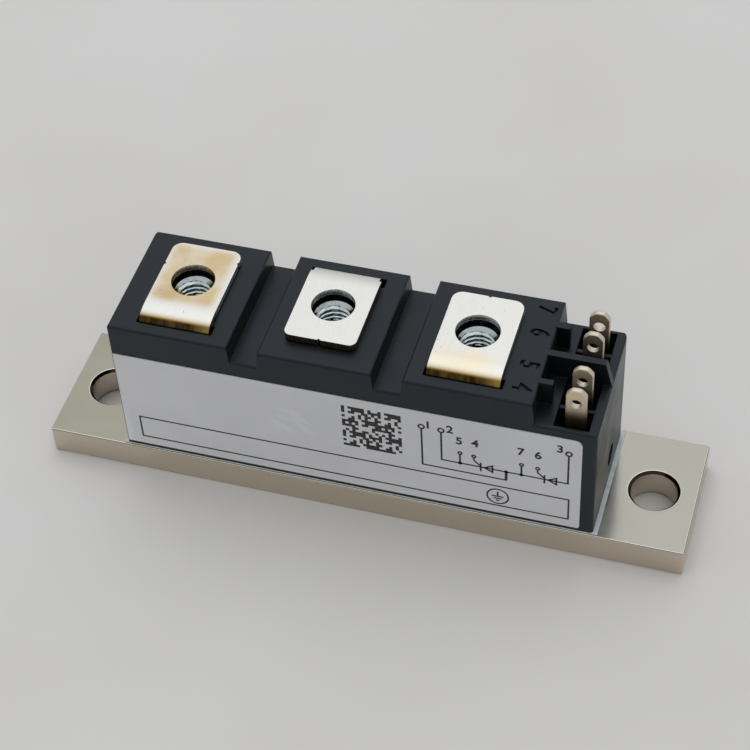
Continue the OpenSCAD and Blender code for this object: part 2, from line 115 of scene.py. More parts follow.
@dataclass(frozen=True)
class Painter:
    """The node tree of one material, with the patterns that several finishes share."""

    tree: bpy.types.NodeTree
    surface: bpy.types.Node
    place: Socket
    edge_samples: int = 6

    def node(self, kind: str, inputs: dict | None = None, **settings: object) -> bpy.types.Node:
        """Add a node to this material."""
        return add(self.tree, kind, inputs, **settings)

    def reckon(self, operation: str, *values: object) -> Socket:
        """Do one step of arithmetic on values or outputs."""
        return self.node("Math", dict(enumerate(values)), operation=operation).outputs[0]

    def axes(self) -> list[Socket]:
        """Give the place along X, Y and Z, in metres."""
        return list(self.node("SeparateXYZ", {0: self.place}).outputs)

    def upward(self) -> Socket:
        """Give how far the surface faces up: one on a level top, nought on an upright side."""
        return self.node("SeparateXYZ", {0: self.node("NewGeometry").outputs["Normal"]}).outputs[2]

    def clouds(self, size: Place, detail: float = 3.0, turn: float = 0.0) -> Socket:
        """Lay soft patches or streaks.

        Args:
            size: Their size along X, Y and Z, in millimetres.
            detail: Number of finer layers in the pattern.
            turn: Turn of the pattern about Y, in degrees.

        Returns:
            The pattern, mostly from 0.3 to 0.7.
        """
        local = self.node("Mapping", {"Vector": self.place, "Scale": Vector(size) * MM,
                                      "Rotation": (0, math.radians(turn), 0)}, vector_type="TEXTURE")
        return self.node("TexNoise", {"Vector": local.outputs[0], "Scale": 1.0, "Detail": detail}).outputs[0]

    def spot(self, centre: Place, reach: Place, core: float = 0.3) -> Socket:
        """Lay a soft round field.

        Args:
            centre: Middle of the field, in millimetres.
            reach: Distance along X, Y and Z at which the field ends, in millimetres.
            core: Share of the reach that the field fills evenly.

        Returns:
            One in the core, falling to nought at the reach.
        """
        local = self.node("Mapping", {"Vector": self.place, "Location": Vector(centre) * MM,
                                      "Scale": Vector(reach) * MM}, vector_type="TEXTURE")
        away = self.node("VectorMath", {0: local.outputs[0]}, operation="LENGTH")
        return self.spread(away.outputs["Value"], (1.0, core))

    def panel(self, centre: Point, half: Point, soft: float) -> Socket:
        """Lay a rectangular field with soft sides, seen from above.

        Args:
            centre: Middle of the field along X and Y, in millimetres.
            half: Half its length along X and Y, in millimetres.
            soft: Width of the soft sides, in millimetres.

        Returns:
            One inside, falling to nought across the sides.
        """
        sides = []
        for along, core, reach in zip(self.axes(), centre, half):
            away = self.reckon("ABSOLUTE", self.reckon("SUBTRACT", along, core * MM))
            sides.append(self.spread(away, ((reach + soft / 2) * MM, (reach - soft / 2) * MM)))
        return self.product(*sides)

    def spread(self, value: Socket, source: Point, target: Point = FULL) -> Socket:
        """Stretch a value smoothly, so that the ends of its source range become those of the target range."""
        ends = {"From Min": source[0], "From Max": source[1], "To Min": target[0], "To Max": target[1]}
        return self.node("MapRange", {"Value": value, **ends}, interpolation_type="SMOOTHSTEP").outputs[0]

    def band(self, value: Socket, rise: Point, fall: Point) -> Socket:
        """Mark where a value lies between two soft limits, each given by where it is nought and full."""
        return self.product(self.spread(value, rise), self.spread(value, fall))

    def product(self, *values: Socket) -> Socket:
        """Multiply values with each other.

        Args:
            values: The values.

        Returns:
            Their product.
        """
        total = values[0]
        for value in values[1:]:
            total = self.reckon("MULTIPLY", total, value)
        return total

    def blend(self, share: Socket, under: object, over: str) -> Socket:
        """Lay a share of a colour over another, which is given as hex digits or as an output."""
        lower = linear(under) if isinstance(under, str) else under
        return self.node("Mix", {0: share, 6: lower, 7: linear(over)}, data_type="RGBA").outputs[2]

    def relief(self, height: Socket, depth: float, edge_r: float = 0.0) -> None:
        """Give the surface a fine relief.

        Args:
            height: The pattern that lifts the surface.
            depth: Height of the relief, in millimetres.
            edge_r: Radius to which sharp edges are softened, in millimetres.
        """
        inputs = {"Height": height, "Distance": depth * MM, "Strength": 1.0}
        if edge_r:
            edge = self.node("Bevel", {"Radius": edge_r * MM}, samples=self.edge_samples)
            inputs["Normal"] = edge.outputs[0]
        self.set(Normal=self.node("Bump", inputs).outputs[0])

    def set(self, **sockets: object) -> None:
        """Set or feed inputs of the surface.

        Args:
            sockets: For each input, a value or an output, with an underscore for each space in a name.
        """
        for name, value in sockets.items():
            socket = self.surface.inputs[name.replace("_", " ")]
            if isinstance(value, Socket):
                self.tree.links.new(value, socket)
            else:
                socket.default_value = value


# Finishes


@dataclass(frozen=True)
class Finish:
    """A surface finish, named for the real material and how its surface was made."""

    name: str
    colour: str

    def material(self) -> bpy.types.Material:
        """Build the finish as a material on Object coordinates.

        Returns:
            The new material.
        """
        material = bpy.data.materials.new(self.name)
        material.use_nodes = True
        tree = material.node_tree
        tree.nodes.clear()
        surface = add(tree, "BsdfPrincipled")
        add(tree, "OutputMaterial", {"Surface": surface.outputs[0]})
        self.paint(Painter(tree, surface, add(tree, "TexCoord").outputs["Object"]))
        return material

    def paint(self, painter: Painter) -> None:
        """Lay this finish's colours, gloss and relief.

        Args:
            painter: The material's node tree.
        """
        raise NotImplementedError


@dataclass(frozen=True)
class SatinNickel(Finish):
    """Copper plate rolled, blanked and nickel plated: a soft grey mirror, yellower at one end.

    It is brown where it was cut, carries a painted dark reflection in the holes' chamfers, and is bright
    along its rolled edge, partly burnish and partly a painted highlight.
    """

    yellow: str = "#9f9c8d"
    cut: str = "#d0c4b4"
    # Rolled edge: partly burnish, partly painted highlight
    burnish: str = "#f4f1e4"
    # Painted dark reflection in the holes' chamfers
    chamfer: str = "#3e352b"
    half_l: float = 46.0
    yellow_from: float = 27.6
    yellow_share: Point = (0.6, 1.0)
    hole_x: float = 40.0
    hole_reach: Place = (4.6, 4.6, 20.0)
    hole_core: float = 0.9
    cut_facing: Point = (0.6, 0.2)
    rolled_facing: tuple[Point, Point] = ((0.75, 0.9), (0.998, 0.985))
    chamfer_facing: tuple[Point, Point] = ((0.4, 0.6), (0.85, 0.76))
    # Real rolling lines are a few hundredths wide, too fine to show, so they are drawn coarser
    rolling: Place = (18.0, 0.22, 0.3)
    patch: Place = (16.0, 7.0, 3.0)
    gloss: Point = (0.13, 0.19)
    relief: float = 0.0004

    def paint(self, painter: Painter) -> None:
        """Lay the yellower end, the rolled edges' burnish and painted highlight, the cut faces, the painted
        dark reflection in the chamfers and a satin gloss.

        Args:
            painter: The material's node tree.
        """
        lines = painter.clouds(self.rolling)
        end = painter.spread(painter.axes()[0], (self.yellow_from * MM, -self.half_l * MM))
        uneven = painter.spread(painter.clouds(self.patch), CLOUDS, self.yellow_share)
        facing = painter.upward()
        face = painter.blend(painter.product(end, uneven), self.colour, self.yellow)
        # Partly burnish, partly painted highlight along the rolled edge
        face = painter.blend(painter.band(facing, *self.rolled_facing), face, self.burnish)
        face = painter.blend(painter.spread(facing, self.cut_facing), face, self.cut)
        # Painted dark reflection on the sloped chamfers near each hole
        sloped = painter.band(facing, *self.chamfer_facing)
        for hole in (-self.hole_x, self.hole_x):
            near = painter.spot((hole, 0.0, 0.0), self.hole_reach, self.hole_core)
            face = painter.blend(painter.product(sloped, near), face, self.chamfer)
        painter.set(Base_Color=face, Metallic=1.0, Roughness=painter.spread(lines, CLOUDS, self.gloss))
        painter.relief(lines, self.relief)


@dataclass(frozen=True)
class MouldedPlastic(Finish):
    """Glass-filled plastic from a spark-eroded mould: near black, with a fine grain and a cool sheen."""

    bloom: str = "#12161a"
    bloom_from: Point = (0.4, 0.75)
    bloom_share: Point = (0.0, 0.6)
    sheen: str = "#cfe0ef"
    # The mould's real grain is about 0.05 wide, too fine to show, so it is drawn coarser
    grain: float = 0.16
    grain_detail: float = 2.0
    patch: float = 6.0
    gloss: Point = (0.34, 0.44)
    relief: float = 0.004
    edge_r: float = 0.14

    def paint(self, painter: Painter) -> None:
        """Lay the mould's grain, faint pale bloom and softened edges.

        Args:
            painter: The material's node tree.
        """
        grain = painter.clouds((self.grain,) * 3, self.grain_detail)
        patches = painter.clouds((self.patch,) * 3)
        pale = painter.spread(patches, self.bloom_from, self.bloom_share)
        painter.set(Base_Color=painter.blend(pale, self.colour, self.bloom), Specular_Tint=linear(self.sheen),
                    Roughness=painter.spread(patches, CLOUDS, self.gloss))
        painter.relief(grain, self.relief, self.edge_r)


@dataclass(frozen=True)
class SiliconeSealant(Finish):
    """Pale silicone squeezed out under the housing and wiped: soft, faintly blue and unevenly glossy."""

    dirt: str = "#b0b8bc"
    dirt_from: Point = (0.4, 0.7)
    patch: float = 1.6
    glow: float = 0.15
    glow_r: float = 0.4
    gloss: Point = (0.3, 0.45)
    relief: float = 0.012

    def paint(self, painter: Painter) -> None:
        """Lay the greyer patches that wiping leaves, and a low waviness.

        Args:
            painter: The material's node tree.
        """
        patches = painter.clouds((self.patch,) * 3)
        grey = painter.spread(patches, self.dirt_from)
        painter.set(Base_Color=painter.blend(grey, self.colour, self.dirt), Subsurface_Weight=self.glow,
                    Subsurface_Radius=(self.glow_r * MM,) * 3,
                    Roughness=painter.spread(patches, CLOUDS, self.gloss))
        painter.relief(patches, self.relief)


@dataclass(frozen=True)
class LabelFilm(Finish):
    """Silver-grey polyester film with a satin varnish: an even cool grey, whitish where it was rubbed."""

    pale: str = "#cfd0d3"
    patch: float = 14.0
    scuff: str = "#dadbdb"
    scuff_at: Place = (-8.8, -9.8, 16.2)
    scuff_reach: Place = (5.2, 4.0, 4.4)
    scratch: Place = (3.6, 1.4, 1.1)
    scratch_detail: float = 2.0
    scratch_turn: float = 32.0
    scratch_from: Point = (0.42, 0.7)
    scratch_share: Point = (0.0, 0.7)
    # Painted sheen at the film's lower left end
    lifted: str = "#d8d9dc"
    lifted_at: Place = (-34.0, -9.8, 4.0)
    lifted_reach: Place = (1.7, 3.0, 13.0)
    gloss: Point = (0.36, 0.6)
    silver: float = 0.12

    def paint(self, painter: Painter) -> None:
        """Lay faint patches in the film, a painted sheen along its lower left end, and the scuffs.

        Args:
            painter: The material's node tree.
        """
        patches = painter.clouds((self.patch,) * 3)
        scratches = painter.spread(painter.clouds(self.scratch, self.scratch_detail, self.scratch_turn),
                                   self.scratch_from, self.scratch_share)
        worn = painter.product(scratches, painter.spot(self.scuff_at, self.scuff_reach))
        film = painter.blend(painter.spread(patches, CLOUDS), self.colour, self.pale)
        # Painted sheen along the lower left end
        film = painter.blend(painter.spot(self.lifted_at, self.lifted_reach), film, self.lifted)
        painter.set(Base_Color=painter.blend(worn, film, self.scuff), Metallic=self.silver,
                    Roughness=painter.spread(worn, FULL, self.gloss))


@dataclass(frozen=True)
class LabelInk(Finish):
    """Black thermal-transfer ink: matt, a little starved where the ribbon ran dry."""

    starved: str = "#3a3a3d"
    starved_from: Point = (0.5, 0.75)
    patch: float = 0.5
    roughness: float = 0.55

    def paint(self, painter: Painter) -> None:
        """Lay the thin places of the ink."""
        thin = painter.spread(painter.clouds((self.patch,) * 3), self.starved_from)
        painter.set(Base_Color=painter.blend(thin, self.colour, self.starved), Roughness=self.roughness)


class Heat(Enum):
    """How far soldering heat has tinted a terminal strip."""

    CLEAN = "clean"
    FOLD = "fold"
    WHOLE = "whole"


@dataclass(frozen=True)
class TinnedStrip(Finish):
    """Folded copper strip with a bright tin plate: near white, golden to brown where solder heat reached it;
    the brown of the fold also holds a painted dark reflection.

    The places of the tints are distances from the axis of the strip's hole.
    """

    heat: Heat = Heat.CLEAN
    axis: Point = (0.0, 0.0)
    top: float = 0.0
    half_w: float = 5.0
    line: str = "#d3d3cc"
    line_from: Point = (0.35, 0.65)
    line_share: Point = (0.0, 0.1)
    # Real rolling lines are a few hundredths wide, too fine to show, so they are drawn coarser
    rolling: Place = (0.14, 5.0, 5.0)
    gold: str = "#d6c198"
    gold_at: Point = (-0.2, 0.9)
    gold_half: Point = (4.4, 5.3)
    gold_soft: float = 1.7
    corner_at: Point = (-2.4, -3.0)
    corner_reach: Place = (3.6, 2.6, 6.0)
    corner_core: float = 0.2
    corner_share: Point = (0.0, 0.36)
    straw: str = "#f0e6cc"
    straw_at: Point = (-0.4, -5.6)
    straw_reach: Place = (6.5, 2.8, 6.0)
    patch: Place = (3.0, 4.0, 3.0)
    patch_from: Point = (0.32, 0.62)
    patch_share: Point = (0.6, 1.0)
    amber: str = "#b89c58"
    amber_drop: Point = (0.12, 0.5)
    # Brown of the fold: partly heat tint, partly painted dark reflection
    brown: str = "#33240e"
    brown_drop: Point = (0.34, 0.6)
    fold_at: Point = (-4.5, -5.5)
    spared_share: Point = (0.35, 1.0)
    streak: Place = (1.0, 4.0, 4.0)
    streak_share: Point = (0.8, 1.0)
    cut: str = "#85755f"
    cut_facing: Point = (0.5, 0.2)
    hole_reach: Place = (3.8, 3.8, 9.0)
    hole_core: float = 0.9
    speck: str = "#6d675c"
    speck_size: float = 0.45
    speck_detail: float = 1.0
    speck_from: Point = (0.76, 0.8)
    speck_share: Point = (0.0, 0.6)
    gloss: Point = (0.26, 0.33)
    relief: float = 0.0003

    def paint(self, painter: Painter) -> None:
        """Lay rolling lines, the heat tint that this strip has with a painted dark reflection in its fold,
        and a few dark specks.

        Args:
            painter: The material's node tree.
        """
        lines = painter.clouds(self.rolling)
        colour = painter.blend(painter.spread(lines, self.line_from, self.line_share), self.colour, self.line)
        if self.heat is Heat.CLEAN:
            colour = self.bare_edges(painter, colour)
        else:
            colour = self.burnt_fold(painter, self.tinted_top(painter, colour))
        specks = painter.spread(painter.clouds((self.speck_size,) * 3, self.speck_detail),
                                self.speck_from, self.speck_share)
        painter.set(Base_Color=painter.blend(specks, colour, self.speck), Metallic=1.0,
                    Roughness=painter.spread(lines, CLOUDS, self.gloss))
        painter.relief(lines, self.relief)

    def at(self, shift: Point) -> Place:
        """Give a place on the strip's top that lies this far from the axis of its hole."""
        return (self.axis[0] + shift[0], self.axis[1] + shift[1], self.top)

    def tinted_top(self, painter: Painter, colour: Socket) -> Socket:
        """Lay the straw tint before the fold, or the gold one over the whole top with its deeper corner.

        Args:
            painter: The material's node tree.
            colour: The colour so far.

        Returns:
            The tinted colour.
        """
        uneven = painter.spread(painter.clouds(self.patch), self.patch_from, self.patch_share)
        if self.heat is Heat.FOLD:
            tint = painter.product(painter.spot(self.at(self.straw_at), self.straw_reach), uneven)
            return painter.blend(tint, colour, self.straw)
        gold = painter.panel(self.at(self.gold_at)[:2], self.gold_half, self.gold_soft)
        colour = painter.blend(painter.product(gold, uneven), colour, self.gold)
        corner = painter.spot(self.at(self.corner_at), self.corner_reach, self.corner_core)
        return painter.blend(painter.spread(corner, FULL, self.corner_share), colour, self.amber)

    def burnt_fold(self, painter: Painter, colour: Socket) -> Socket:
        """Lay the amber and brown of the fold, which spare its right end; the brown is partly heat tint and
        partly a painted dark reflection.

        Args:
            painter: The material's node tree.
            colour: The colour so far.

        Returns:
            The tinted colour.
        """
        x, y = self.axis
        along, across, height = painter.axes()
        front = painter.spread(across, tuple((y + edge) * MM for edge in self.fold_at))
        end = (x + self.half_w) * MM, (x + self.half_w / 2) * MM
        spared = painter.spread(along, end, self.spared_share)
        streaks = painter.spread(painter.clouds(self.streak), CLOUDS, self.streak_share)
        warm, burn_and_reflection = (painter.spread(height, tuple((self.top - drop) * MM for drop in drops))
                      for drops in (self.amber_drop, self.brown_drop))
        colour = painter.blend(painter.product(front, warm), colour, self.amber)
        # Partly heat tint, partly painted dark reflection lower on the fold
        return painter.blend(painter.product(front, burn_and_reflection, spared, streaks), colour, self.brown)

    def bare_edges(self, painter: Painter, colour: Socket) -> Socket:
        """Lay the browner metal of the cut edges, but not in the hole.

        Args:
            painter: The material's node tree.
            colour: The colour so far.

        Returns:
            The tinted colour.
        """
        away = painter.spread(painter.spot(self.at((0.0, 0.0)), self.hole_reach, self.hole_core), (1.0, 0.0))
        return painter.blend(painter.product(painter.spread(painter.upward(), self.cut_facing), away),
                             colour, self.cut)


@dataclass(frozen=True)
class ZincPlate(Finish):
    """Steel tapped and zinc plated with a clear passivate: bright and blue-white, faintly tool-marked."""

    cloudy: str = "#a3b0b4"
    cloudy_from: Point = (0.45, 0.75)
    patch: float = 0.9
    # A tap leaves marks about 0.01 wide, too fine to show, so they are drawn coarser
    mark: Place = (0.6, 0.6, 0.05)
    gloss: Point = (0.06, 0.12)
    relief: float = 0.001

    def paint(self, painter: Painter) -> None:
        """Lay the tool marks and the duller patches of the passivate.

        Args:
            painter: The material's node tree.
        """
        marks = painter.clouds(self.mark)
        dull = painter.spread(painter.clouds((self.patch,) * 3), self.cloudy_from)
        painter.set(Base_Color=painter.blend(dull, self.colour, self.cloudy), Metallic=1.0,
                    Roughness=painter.spread(marks, CLOUDS, self.gloss))
        painter.relief(marks, self.relief)


@dataclass(frozen=True)
class TabPlate(Finish):
    """Brass stamped and nickel plated: dull beige, with a painted highlight on its upward rims and painted
    shade darkening its foot.
    """

    # Painted highlight on the upward-facing rims
    rim: str = "#ddd5c5"
    rim_facing: Point = (0.15, 0.5)
    # Painted shade, darker towards the tab's foot in the socket
    foot: str = "#7d7159"
    foot_z: float = 0.0
    foot_h: float = 2.5
    stain: float = 1.4
    stain_from: Point = (0.3, 0.6)
    stain_share: Point = (0.75, 1.0)
    # Real stamping lines are a few hundredths wide, too fine to show, so they are drawn coarser
    stamping: Place = (0.12, 0.12, 2.5)
    gloss: Point = (0.4, 0.5)
    relief: float = 0.001

    def paint(self, painter: Painter) -> None:
        """Lay the stamping lines, the painted highlight on the rims and the painted shade at the foot.

        Args:
            painter: The material's node tree.
        """
        lines = painter.clouds(self.stamping)
        low = painter.spread(painter.axes()[2], ((self.foot_z + self.foot_h) * MM, self.foot_z * MM))
        uneven = painter.spread(painter.clouds((self.stain,) * 3), self.stain_from, self.stain_share)
        # Upward-facing rims get a painted highlight
        face = painter.blend(painter.spread(painter.upward(), self.rim_facing), self.colour, self.rim)
        # The foot gets painted shade, broken up by clouds
        painter.set(Base_Color=painter.blend(painter.product(low, uneven), face, self.foot), Metallic=1.0,
                    Roughness=painter.spread(lines, CLOUDS, self.gloss))
        painter.relief(lines, self.relief)


@dataclass(frozen=True)
class InnerStock(Finish):
    """Stock of the sealed stack: an even material with a fine grain of its own second colour."""

    fleck: str = "#000000"
    grain: Place = (0.5, 0.5, 0.5)
    roughness: float = 0.4
    metallic: float = 0.0
    clear: float = 0.0
    fleck_from: Point = (0.35, 0.7)
    gloss_share: Point = (0.8, 1.2)
    relief: float = 0.002

    def paint(self, painter: Painter) -> None:
        """Lay the grain in colour and in gloss.

        Args:
            painter: The material's node tree.
        """
        grain = painter.clouds(self.grain)
        gloss = tuple(self.roughness * share for share in self.gloss_share)
        painter.set(Base_Color=painter.blend(painter.spread(grain, self.fleck_from), self.colour, self.fleck),
                    Metallic=self.metallic, Transmission_Weight=self.clear,
                    Roughness=painter.spread(grain, CLOUDS, gloss))
        painter.relief(grain, self.relief)


# Small tools for pieces


def only(*pieces: Piece) -> None:
    """Select some pieces and nothing else.

    Args:
        pieces: The pieces, of which the first one becomes active.
    """
    bpy.ops.object.select_all(action="DESELECT")
    for piece in pieces:
        piece.select_set(True)
    bpy.context.view_layer.objects.active = pieces[0]


@contextmanager
def editing(piece: Piece) -> Iterator[None]:
    """Open a piece in edit mode with all of it selected, and leave edit mode at the end.

    Args:
        piece: The piece to edit.

    Yields:
        Nothing.
    """
    only(piece)
    bpy.ops.object.mode_set(mode="EDIT")
    bpy.ops.mesh.select_all(action="SELECT")
    yield
    bpy.ops.object.mode_set(mode="OBJECT")


def choose(piece: Piece, kind: str, test: Callable[[object], bool]) -> None:
    """Select the parts of an open mesh that pass a test, and no others.

    Args:
        piece: The piece in edit mode.
        kind: The parts to test: verts, edges or faces.
        test: Says of one part whether it is selected.
    """
    bpy.ops.mesh.select_mode(type={"verts": "VERT", "edges": "EDGE", "faces": "FACE"}[kind])
    bpy.ops.mesh.select_all(action="DESELECT")
    mesh = bmesh.from_edit_mesh(piece.data)
    for part in getattr(mesh, kind):
        part.select_set(test(part))
    mesh.select_flush_mode()
    bmesh.update_edit_mesh(piece.data)


def apply_modifier(piece: Piece, kind: str, **settings: object) -> None:
    """Add a modifier to a piece and apply it.

    Args:
        piece: The piece.
        kind: The modifier's type.
        settings: The modifier's own properties.
    """
    only(piece)
    bpy.ops.object.modifier_add(type=kind)
    modifier = piece.modifiers[-1]
    for name, value in settings.items():
        setattr(modifier, name, value)
    bpy.ops.object.modifier_apply(modifier=modifier.name)


def cut(piece: Piece, cutter: Piece, overlaps: bool = False) -> None:
    """Cut a cutter, which may overlap itself, out of a piece and throw the cutter away."""
    apply_modifier(piece, "BOOLEAN", operation="DIFFERENCE", solver="EXACT", use_self=overlaps, object=cutter)
    bpy.data.objects.remove(cutter)


def settle(piece: Piece) -> Piece:
    """Put a piece's place, turn and scale into its mesh.

    Args:
        piece: The piece.

    Returns:
        The same piece.
    """
    only(piece)
    bpy.ops.object.transform_apply(location=True, rotation=True, scale=True)
    return piece


def join(pieces: list[Piece], name: str) -> Piece:
    """Join pieces into one.

    Args:
        pieces: The pieces.
        name: Name of the joined piece.

    Returns:
        The joined piece.
    """
    only(*pieces)
    if len(pieces) > 1:
        bpy.ops.object.join()
    pieces[0].name = name
    return pieces[0]


def solid_copy(node: str, name: str) -> Piece:
    """Copy a solid as one closed surface with whole flat faces.

    Args:
        node: The solid's node.
        name: Name of the copy.

    Returns:
        The copy.
    """
    piece = bpy.data.objects.new(name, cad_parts[node].data.copy())
    bpy.context.collection.objects.link(piece)
    only(piece)
    bpy.ops.mesh.customdata_custom_splitnormals_clear()
    with editing(piece):
        bpy.ops.mesh.remove_doubles(threshold=MERGE * MM)
        bpy.ops.mesh.dissolve_limited(angle_limit=FLAT_ANGLE)
    return piece


def finish_piece(piece: Piece, finish: Finish, slot: str | None = None, *nodes: str) -> None:
    """Dress a new piece and seat it on the body.

    Args:
        piece: The piece.
        finish: Its finish.
        slot: Not used.
        nodes: The solids that it stands for.
    """
    only(piece)
    bpy.ops.object.shade_smooth_by_angle(angle=SMOOTH_ANGLE)
    apply_modifier(piece, "WEIGHTED_NORMAL", keep_sharp=True)
    piece.data.materials.clear()
    piece.data.materials.append(finish.material())
    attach(piece, BODY)
    if nodes:
        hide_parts(*nodes)
    log.info("%s: %d faces, %s", piece.name, len(piece.data.polygons), finish.name)


def dress_node(node: str, finish: Finish) -> None:
    """Give a solid that stays as it is its finish.

    Args:
        node: The solid's node.
        finish: Its finish.
    """
    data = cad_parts[node].data
    data.materials.clear()
    data.materials.append(finish.material())
    log.info("%s: solid kept, %s", node, finish.name)


def type_numeral(number: int, height: float, bold: float, depth: float = 0.0, steps: int = 6) -> Piece:
    """Make a plain numeral that lies at the origin.

    Args:
        number: The number.
        height: Its height, in millimetres.
        bold: What its strokes gain on each side, in millimetres.
        depth: How far it stands above and below its plane, in millimetres.
        steps: Number of steps in each piece of a curve.

    Returns:
        The numeral as a mesh.
    """
    size = height / DIGIT_SHARE
    bpy.ops.object.select_all(action="DESELECT")
    bpy.ops.object.text_add()
    piece = bpy.context.object
    piece.data.body = str(number)
    piece.data.align_x = "CENTER"
    piece.data.align_y = "CENTER"
    piece.data.resolution_u = steps
    piece.data.offset = bold / size
    piece.data.extrude = depth / size
    bpy.ops.object.convert(target="MESH")
    piece.scale = (size * MM,) * 3
    return settle(piece)


def middle(node: str) -> Vector:
    """Give the middle of a solid's box, in millimetres."""
    low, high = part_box(node)
    return (low + high) / 2 / MM


# The scene and the sub-assemblies


@dataclass
class Stage:
    """Camera, floor and light, none of them part of the module."""

    eye: Place = (63.244, -182.513, 224.537)
    aim: Place = (-0.358, 2.245, 15.0)
    lens: float = 98.76
    roll: float = 3.608
    floor_colour: str = "#d2d1d0"
    floor_fleck: str = "#cecdcb"
    floor_patch: float = 60.0
    floor_roughness: float = 0.7
    floor_size: float = 6000.0
    room: float = 0.68
    seen_room: float = 0.93
    crown_way: Place = (0.0, 0.31, 0.95)
    crown_edge: float = 0.6
    wall_share: float = 0.6
    crown_share: float = 1.267
    key_at: Place = (-100.0, 290.0, 1000.0)
    key_size: Point = (1000.0, 1000.0)
    key_radiance: float = 1.15
    key_colour: str = "#fbfcff"

    def build(self) -> None:
        """Make the camera, the floor and the light."""
        self.camera()
        self.floor()
        self.key()
        self.world()
        bpy.context.scene.view_settings.view_transform = "Standard"

    def camera(self) -> None:
        """Stand the camera at the viewing angle."""
        sight = Vector(self.aim) - Vector(self.eye)
        turn = sight.to_track_quat("-Z", "Y") @ Quaternion((0, 0, 1), -math.radians(self.roll))
        bpy.ops.object.camera_add(location=Vector(self.eye) * MM, rotation=turn.to_euler())
        camera = bpy.context.object
        camera.data.lens = self.lens
        camera.data.clip_start = MM
        bpy.context.scene.camera = camera

    def floor(self) -> None:
        """Lay a plain pale floor under the plate."""
        bpy.ops.mesh.primitive_plane_add(size=self.floor_size * MM, location=(0, 0, -HAIR * MM))
        floor = bpy.context.object
        floor.name = "floor"
        paint = InnerStock("matt_painted_floor", self.floor_colour, self.floor_fleck,
                           (self.floor_patch,) * 3, self.floor_roughness)
        floor.data.materials.append(paint.material())

    def key(self) -> None:
        """Hang one large soft light above the module, a little towards the back, that no metal mirrors."""
        away = Vector(self.key_at)
        bpy.ops.object.light_add(type="AREA", location=away * MM,
                                 rotation=(-away).to_track_quat("-Z", "Y").to_euler())
        lamp = bpy.context.object
        lamp.visible_glossy = False
        light = lamp.data
        light.shape = "RECTANGLE"
        light.size, light.size_y = (length * MM for length in self.key_size)
        light.energy = self.key_radiance * math.pi * light.size * light.size_y
        light.color = linear(self.key_colour)[:3]

    def world(self) -> None:
        """Fill the room with even light, and show metal a ceiling that is brightest behind the zenith."""
        world = bpy.data.worlds.new("pale_room")
        world.use_nodes = True
        bpy.context.scene.world = world
        tree = world.node_tree
        tree.nodes.clear()
        path = add(tree, "LightPath").outputs
        mirrored = add(tree, "Math", {0: path["Is Glossy Ray"], 1: path["Is Transmission Ray"]},
                       operation="MAXIMUM")
        seen = add(tree, "Math", {0: path["Is Camera Ray"], 1: mirrored.outputs[0]}, operation="MAXIMUM")
        level = add(tree, "MapRange", {"Value": seen.outputs[0], "To Min": self.room,
                                       "To Max": self.seen_room})
        facing = add(tree, "VectorMath", {0: add(tree, "TexCoord").outputs["Generated"], 1: self.crown_way},
                     operation="DOT_PRODUCT")
        ceiling = add(tree, "MapRange", {"Value": facing.outputs["Value"], "From Min": self.crown_edge,
                                         "To Min": self.wall_share, "To Max": self.crown_share})
        share = add(tree, "MapRange", {"Value": mirrored.outputs[0], "To Min": 1.0,
                                       "To Max": ceiling.outputs[0]})
        strength = add(tree, "Math", {0: level.outputs[0], 1: share.outputs[0]}, operation="MULTIPLY")
        background = add(tree, "Background", {"Color": linear("#ffffff"), "Strength": strength.outputs[0]})
        add(tree, "OutputWorld", {"Surface": background.outputs[0]})


@dataclass
class Base:
    """The plate that carries the module, and the sealant squeezed out on it."""

    bead_r: float = 0.2
    plate_edge: float = 0.06
    roll_w: float = 0.42
    roll_inner: float = 0.105
    roll_d: float = 0.1

    def build(self) -> None:
        """Roll and dress the plate, and round the bead of sealant."""
        plate = solid_copy("base_plate", "rolled_plate")
        self.roll_edges(plate)
        apply_modifier(plate, "BEVEL", width=self.plate_edge * MM, segments=2, limit_method="ANGLE")
        nickel = SatinNickel("nickel_plated_rolled_copper", "#adada4")
        finish_piece(plate, nickel, "nickel_plate", "base_plate")
        bead = solid_copy("adhesive_seal", "sealant_bead")
        apply_modifier(bead, "BEVEL", width=self.bead_r * MM, segments=3, limit_method="ANGLE")
        finish_piece(bead, SiliconeSealant("wiped_silicone_sealant", "#c3cbce"), "sealant", "adhesive_seal")

    def roll_edges(self, plate: Piece) -> None:
        """Draw the top face down along the plate's outline, as blanking does.

        Args:
            plate: The plate.
        """
        with editing(plate):
            choose(plate, "faces", lambda face: face.normal.z > LEVEL)
            bpy.ops.mesh.inset(thickness=self.roll_w * MM)
            bpy.ops.mesh.inset(thickness=self.roll_inner * MM)
            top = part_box("base_plate")[1].z
            choose(plate, "verts", lambda vertex: vertex.co.z > top - HAIR * MM
                   and any(abs(face.normal.z) < UPRIGHT for face in vertex.link_faces))
            bpy.ops.transform.translate(value=(0, 0, -self.roll_d * MM))


